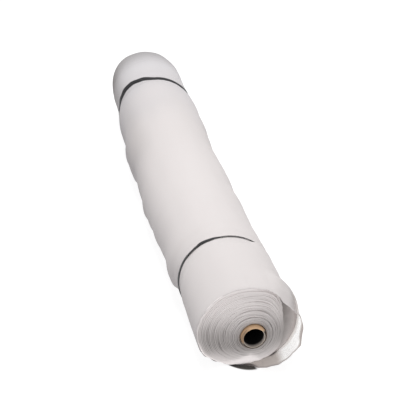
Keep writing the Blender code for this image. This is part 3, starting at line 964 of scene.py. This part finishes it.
def facets(degrees, share):
    """Makes the loose edge go round in straight facets between its creases."""
    corner = np.clip(np.searchsorted(EDGE_CREASES, degrees) - 1, 0, len(EDGE_CREASES) - 2)
    before, after = EDGE_CREASES[corner], EDGE_CREASES[corner + 1]
    half = np.radians(after - before) / 2
    away = np.radians(degrees) - np.radians(after + before) / 2
    flat = np.cos(half) / np.cos(np.clip(away, -half, half))
    return 1 + (flat - 1) * share * FACET_FLATNESS


print("rows of the outermost turn:", len(ROW_PLACES))

# %% [markdown]
# Every small form of the cloth is a height on top of the roll's radius, under a soft window that says where
# it lies: the free edge's waves, the rims of turns at the far end, the curl of the near hem, the far rim
# that turns in, and a low fold before the near strap that hides the strap's right end.

# %% Height of the outermost turn
HELD_GAP = (0.0060, 0.0015)
OVERLAP_RISE = 0.0009
NEAR_CURL = 0.0008
FAR_CURL = 0.0012
FAR_RIM = 0.0012
FAR_RIMS_ALONG = (1.425, 1.44, 1.47, 1.485)
STRAP_FOLD = 0.0056
STRAP_FOLD_ALONG = (0.222, 0.2545, 0.2558, 0.2600)
STRAP_FOLD_ROUND = (-10, 12, 50, 62)


def cloth_radius(along, degrees):
    """Radius of every point of the outermost turn."""
    edge, gap, _ = lip(degrees)
    behind = along - edge
    held = fade(*HELD_GAP, gap)
    waves = read(FREE_EDGE_LIFT, along) * hill(degrees, FREE_EDGE_ANGLE, FREE_EDGE_SPREAD)
    spiral = OVERLAP_RISE * (degrees - FREE_EDGE_ANGLE) / 360
    rims = FAR_RIM * np.sin(along * 420) * between(along, *FAR_RIMS_ALONG)
    curls = -NEAR_CURL * held * fade(0.009, 0.0, behind) - FAR_CURL * fade(1.490, 1.511, along)
    fold = STRAP_FOLD * between(along, *STRAP_FOLD_ALONG) * between(degrees, *STRAP_FOLD_ROUND)
    radius = roll_radius(along, degrees) + creases(along, degrees) + rims + waves + spiral + curls
    radius = (radius + bend(behind, degrees) + fold) * facets(degrees, (1 - held) * fade(0.09, 0.01, behind))
    return on_ground(radius, along, degrees)


along, degrees = cloth_grid()
radius = cloth_radius(along, degrees)
points = on_roll(radius, degrees, along)
print("largest radius of the cloth:", round(float(radius.max()), 4), "m")

# %% [markdown]
# Where the turn stands clear it is a single sheer layer: light comes through it, its holes are open, and only
# its hem is dense. Elsewhere it lies on the roll, with painted shade: a little on the left flank and more at
# the far end. These readings become marks on the mesh for the finish: "loose", "glow" and "depth", the
# painted shade.

# %% Marks on the outermost turn
HEM = (0.0030, 0.0060)
BROAD_HEM = 0.0140
BROAD_HEM_ROUND = (-22, -14, 12, 22)
TURNED_OUT = (-54, -41, 24, 38)
LEAST_DEPTH = 0.02
FLAP_SHADE = 0.16
FAR_SHADE = 0.48
FAR_LEFT_SHADE = 0.42
FLANK_SHADE = 0.16
HEM_SHADE = 0.06
NEAR_SHADE = 0.03


def painted_shade(along, degrees):
    """How much shade is painted on the cloth where it lies on the roll."""
    edge, gap, _ = lip(degrees)
    clear = read_round(LOOSE_AROUND, degrees) * fade(0.24, 0.08, along)
    # Each term is painted shade: behind the flap, at the far end, on the left flank, behind the held hem and
    # over the near part.
    shade_sum = FLAP_SHADE * np.clip(clear, 0, 1) * fade(66, 30, degrees)
    shade_sum = shade_sum + FAR_SHADE * fade(1.385, 1.520, along)
    shade_sum = shade_sum + FAR_LEFT_SHADE * fade(138, 180, degrees) * fade(1.27, 1.33, along)
    shade_sum = shade_sum + FLANK_SHADE * hill(degrees, 150, 20) * fade(0.70, 0.95, along)
    shade_sum = shade_sum + HEM_SHADE * fade(*HELD_GAP, gap) * fade(0.012, 0.003, along - edge)
    return shade_sum + NEAR_SHADE * fade(1.20, 1.05, along)


def cloth_marks(along, degrees):
    """Where the cloth is sheer, where light comes through it and where shade is painted on it."""
    edge, gap, depth = lip(degrees)
    behind = along - edge
    inward = behind / np.maximum(depth, LEAST_DEPTH) + 0.14 * fade(-44, -56, degrees)
    clear = (1 - fade(*HELD_GAP, gap)) * fade(1.12, 1.00, inward)
    hem = fade(*HEM, behind - BROAD_HEM * between(degrees, *BROAD_HEM_ROUND))
    single = 0.4 + 0.6 * fade(0.066, 0.050, behind)
    loose = clear * hem * single * between(degrees, *TURNED_OUT)
    lit = clear * (0.7 + 0.3 * hem) * (0.62 + 0.23 * fade(-56, -28, degrees)) * (1 - loose)
    glow = (lit + loose * 0.5) * fade(32, 16, degrees)
    return {"loose": loose, "glow": glow, "depth": painted_shade(along, degrees)}


marks = cloth_marks(along, degrees)
print("share of open cloth:", round(float(marks["loose"].mean()), 3))

# %% The sheet
CLOTH_THICKNESS = 0.0007
outer_turn = skin("outer_turn", points, cloth_map(points, False, False), marks=marks)
thick = outer_turn.modifiers.new("cloth", "SOLIDIFY")
thick.thickness = CLOTH_THICKNESS
thick.offset = -1.0
finished(outer_turn, netting_loose, "netting", "netting")

# %% [markdown]
# ## The cardboard tube
# The tube is wound from strips of brown paper. Its ends are sawn, so their edges are a little worn,
# the paper layers show on the end face, and a spiral seam runs along its outside and its bore.
# A profile is turned round the tube's axis, and the finish reads how far from the axis each point is.

# %% Tube
TUBE_STEPS = 96
WORN = 0.00025
WORN_FINE = 0.0002


def tube_points():
    """Closed rings of the tube: outside, near end, bore and far end."""
    degrees = np.linspace(0, 360, TUBE_STEPS, endpoint=False)
    worn = WORN * np.sin(np.radians(5 * degrees)) + WORN_FINE * np.sin(np.radians(11 * degrees + 40))
    near = [
        (TUBE_RADIUS, 0.030), (TUBE_RADIUS, 0.0030), (TUBE_RADIUS - 0.0002, 0.0012),
        (TUBE_RADIUS - 0.0008, 0.0003), (TUBE_RADIUS - 0.0017, 0.0), (BORE_RADIUS + 0.0015, 0.0),
        (BORE_RADIUS + 0.0006, 0.0003), (BORE_RADIUS, 0.0012), (BORE_RADIUS, 0.015), (BORE_RADIUS, 0.05),
    ]
    far = [(radius, TUBE_LENGTH - along) for radius, along in near]
    half_way = TUBE_LENGTH / 2
    rings = near + [(BORE_RADIUS, half_way)] + far[::-1] + [(TUBE_RADIUS, half_way)]
    near_edge = [abs(along - 0.0006) < 0.0012 for _, along in rings]
    return np.array([
        place(TUBE_X, TUBE_HEIGHT, radius, degrees, along + (worn + 0.0004 if wear else 0 * degrees))
        for (radius, along), wear in zip(rings, near_edge)
    ])


points = tube_points()
tube = skin("cardboard_tube", points, cloth_map(points, True, True), True, True)
print("rings of the tube:", len(points))

# %% [markdown]
# The cardboard's finish tells outside, end face and bore apart by the distance from the axis and from the
# mouth. The bore darkens quickly inwards, because little light comes back out of a long tube.

# %% Cardboard finish
CARD_COLOUR = (0.60, 0.398, 0.243, 1.0)
CARD_SEAM = (0.44, 0.27, 0.14, 1.0)
CARD_END = (0.56, 0.50, 0.43, 1.0)
CARD_LAYER = (0.40, 0.33, 0.26, 1.0)
CARD_SHADED = (0.22, 0.15, 0.10, 1.0)
CARD_DARK = (0.05, 0.035, 0.028, 1.0)
BORE_COLOUR = (0.42, 0.37, 0.34, 1.0)
BLACK = (0.004, 0.004, 0.004, 1.0)
SEAM_PITCH = 0.11
PAPER_LAYER = 0.0006
LIT_BORE = (0.014, 0.004)
END_FACE = (0.0040, 0.0030)
SHADED_SIDE = (-0.010, -0.024)


def cardboard_finish():
    """Brown paper tube with a spiral seam, worn pale ends and a dark bore."""
    finish = Finish("cardboard", Roughness=0.85, Specular_IOR_Level=0.25)
    spot = finish.on_object()
    side = finish.axis(spot, 0) - TUBE_X
    up = finish.axis(spot, 2) - TUBE_HEIGHT
    along = finish.axis(spot, 1) - NEAR_MOUTH
    from_axis = finish.work("SQRT", side * side + up * up)
    fibres = finish.noise(spot, 260.0, 4.0)
    seam = finish.work("COSINE", along * (ROUND / SEAM_PITCH) + side.sum("ARCTAN2", up, side))
    seam_line = finish.step(seam, 0.995, 1.0)
    outside = finish.blend(fibres * 0.4 + seam_line * 0.4, CARD_COLOUR, CARD_SEAM)
    mouth = finish.step(along, *LIT_BORE)
    bore = finish.blend(mouth, BLACK, BORE_COLOUR)
    at_bore = finish.step(from_axis, BORE_RADIUS + 0.0006, BORE_RADIUS + 0.0001)
    layers = finish.work("COSINE", from_axis * (ROUND / PAPER_LAYER)) * 0.12 + fibres * 0.4
    upper = finish.step(up * 0.87 - side * 0.5, -0.002, 0.008)
    shaded = finish.blend(finish.step(side, *SHADED_SIDE) * 0.75, CARD_COLOUR, CARD_SHADED)
    end = finish.blend(upper, finish.blend(layers, CARD_END, CARD_LAYER), shaded)
    at_end = finish.step(along, *END_FACE)
    rim = finish.step(from_axis, BORE_RADIUS + 0.0010, BORE_RADIUS + 0.0020) * (1 - upper)
    body = finish.blend(at_end, outside, finish.blend(rim, end, CARD_DARK))
    finish.surface("Base Color", finish.blend(at_bore, body, bore))
    finish.bump(fibres * 0.4 - seam_line * 0.8, 0.4, 0.0005)
    return finish.material


finished(tube, cardboard_finish(), "tube", "core_tube")

# %% [markdown]
# ## The straps
# Each strap is a flat black plastic band, 10 or 12 mm wide. It isn't laid flat all round: it tips on its edge
# here and there, and the near one is creased over the top, so from the front it is now broad, now almost a
# line. A band with rounded corners goes round the roll on the netting. A row of its table holds an angle,
# how far the band tips there in degrees, and how far it has slipped along the roll.

# %% Straps
STRAP_THICKNESS = 0.001
STRAP_GAP = 0.0004
STRAP_STEPS = 240
OVER_THE_TOP = (44, 60, 98, 110)
STRAP_TIPS = {
    "strap_near": [
        (0, 0, -0.001), (50, 0, -0.003), (64, 20, -0.003), (94, 28, -0.001),
        (106, 0, 0.003), (122, -10, 0.006), (136, 24, 0.006), (150, 0, 0.009), (180, -8, 0.007),
        (215, 0, 0.001), (360, 0, -0.001),
    ],
    "strap_far": [
        (0, -6, 0.0140), (18, -8, 0.0150), (54, -12, -0.013), (90, -20, -0.014), (112, -34, 0.001),
        (128, -42, 0.010), (140, -46, 0.010), (153, -24, 0.006), (170, 0, 0.003), (186, 6, 0.000),
        (200, 2, 0.000), (215, 0, 0.000), (275, 0, 0.000), (360, -6, 0.0140),
    ],
}
SECTION = [
    (-1, 0.3), (-0.93, 0), (0, 0), (0.93, 0), (1, 0.3), (1, 0.7), (0.93, 1), (0, 1), (-0.93, 1), (-1, 0.7),
]


def strap_points(name):
    """Rings of a strap's section, tipped as it goes round."""
    along = STRAPS[name]["along"]
    degrees = np.linspace(0, 360, STRAP_STEPS, endpoint=False)
    creased = STRAPS[name]["creased"] * between(degrees, *OVER_THE_TOP)
    half = STRAPS[name]["width"] / 2 * (1 - creased)
    tip, aside = np.radians(read(STRAP_TIPS[name], degrees, 1)), read(STRAP_TIPS[name], degrees, 2)
    seat = roll_radius(np.full_like(degrees, along), degrees) + STRAP_GAP + np.abs(np.sin(tip)) * half
    rings = []
    for side, layer in SECTION:
        outward = seat - side * half * np.sin(tip) + layer * STRAP_THICKNESS * np.cos(tip)
        onward = along + side * half * np.cos(tip) + layer * STRAP_THICKNESS * np.sin(tip)
        onward = onward + aside + lean(along, degrees)
        rings.append(place(middle(along), ROLL_HEIGHT, outward, degrees, onward))
    return np.array(rings)


print("steps round a strap:", STRAP_STEPS)

# %% [markdown]
# The band has a fine pressed pattern, read from its UV map, and scuffs that make it a little paler and
# rougher in places. The same finish serves both straps.

# %% Both straps
PRESSED_PITCH = 0.0016
STRAP_BLACK = (0.018, 0.018, 0.020, 1.0)
STRAP_SCUFF = (0.035, 0.034, 0.036, 1.0)


def strap_finish():
    """Black plastic band with a fine pressed pattern and scuffs."""
    finish = Finish("strap_plastic", Specular_IOR_Level=0.30)
    uv = finish.node("ShaderNodeUVMap", {"uv_map": "cloth"})
    across, onward = finish.axis(uv, 0), finish.axis(uv, 1)
    first = finish.work("COSINE", (across + onward) * (ROUND / PRESSED_PITCH))
    second = finish.work("COSINE", (across - onward) * (ROUND / PRESSED_PITCH))
    scuffs = finish.noise(finish.on_object(), 55.0, 4.0)
    finish.surface("Base Color", finish.blend(scuffs, STRAP_BLACK, STRAP_SCUFF))
    finish.surface("Roughness", scuffs * 0.3 + 0.30)
    finish.bump(first.at_least(second), 0.35, 0.0002)
    return finish.material


black_strap = strap_finish()
for name in STRAPS:
    points = strap_points(name)
    strap = skin(name + "_band", points, cloth_map(points, True, True), True, True)
    finished(strap, black_strap, "strap", name)

# %% [markdown]
# ## The ground and the light
# The roll lies on a white sweep that is lit through from below, so the ground stays plain white round it.
# Right under the roll the glow is left out and the floor's colour is darkened: a painted contact shadow, on
# top of the real one. Its near edge bends with the roll's round end, and the light floor shows again under
# the flap.

# %% Floor
CONTACT_HALF_WIDTH = (0.026, 0.036)
CONTACT_NEAR = (0.734, 0.740)
CONTACT_RIGHT = 0.02
CONTACT_BEND = 10.0
CONTACT_FAR = (0.72, 0.74)
UNDER_FLAP_Y = (-0.66, -0.68)
UNDER_FLAP_EDGE = (0.046, 0.054)
FLOOR_DROP = 0.0006
PALE_FLOOR = (0.30, 0.30, 0.30, 1.0)
SHADED_FLOOR = (0.09, 0.085, 0.08, 1.0)
FLOOR_GLOW = (0.83, 0.83, 0.83, 1.0)


def make_floor():
    """White floor that glows but for a painted contact shadow where the roll touches it."""
    finish = Finish("floor_white", Roughness=0.9, Emission_Strength=1.0)
    spot = finish.on_object()
    x, y = finish.axis(spot, 0), finish.axis(spot, 1)
    aside = finish.step(finish.work("ABSOLUTE", x - ROLL_X), *CONTACT_HALF_WIDTH)
    from_right = x - CONTACT_RIGHT
    before = finish.step(from_right * from_right * CONTACT_BEND - y, *CONTACT_NEAR)
    beyond = finish.step(y, *CONTACT_FAR)
    under_flap = finish.step(x + (y + 0.735) * 1.6, *UNDER_FLAP_EDGE) * finish.step(y, *UNDER_FLAP_Y)
    clear = aside.at_least(before).at_least(beyond).at_least(under_flap)
    # Painted contact shadow: where clear is 0 the floor is dark and does not glow.
    finish.surface("Base Color", finish.blend(clear, SHADED_FLOOR, PALE_FLOOR))
    finish.surface("Emission Color", finish.blend(clear, BLACK, FLOOR_GLOW))
    corners = np.array([[[-9, -9, 0], [9, -9, 0]], [[-9, 12, 0], [9, 12, 0]]], float)
    corners[..., 2] = -FLOOR_DROP
    floor = skin("floor", corners, corners[..., :2])
    floor.data.flip_normals()
    floor.data.materials.append(finish.material)


make_floor()
print("floor made")

# %% [markdown]
# A white surround lights the roll from all sides, and one broad soft lamp right over it shapes it.

# %% Light
LAMP_PLACE = (-0.05, -0.20, 2.2)
LAMP_AIM = (0.0, -0.10, 0.1)
LAMP_SIZE = 1.0
LAMP_WATTS = 29
SURROUND_STRENGTH = 0.63

lamp = add_object("soft_lamp", bpy.data.lights.new("soft_lamp", "AREA"))
lamp.data.shape = "DISK"
lamp.data.size = LAMP_SIZE
lamp.data.energy = LAMP_WATTS
lamp.location = LAMP_PLACE
lamp.rotation_euler = (Vector(LAMP_AIM) - Vector(LAMP_PLACE)).to_track_quat("-Z", "Y").to_euler()
surround = bpy.data.worlds.new("surround")
surround.use_nodes = True
background = surround.node_tree.nodes["Background"].inputs
background["Color"].default_value = WHITE
background["Strength"].default_value = SURROUND_STRENGTH
bpy.context.scene.world = surround
bpy.context.scene.view_settings.view_transform = "Standard"
print("lamp:", LAMP_WATTS, "W, surround:", SURROUND_STRENGTH)
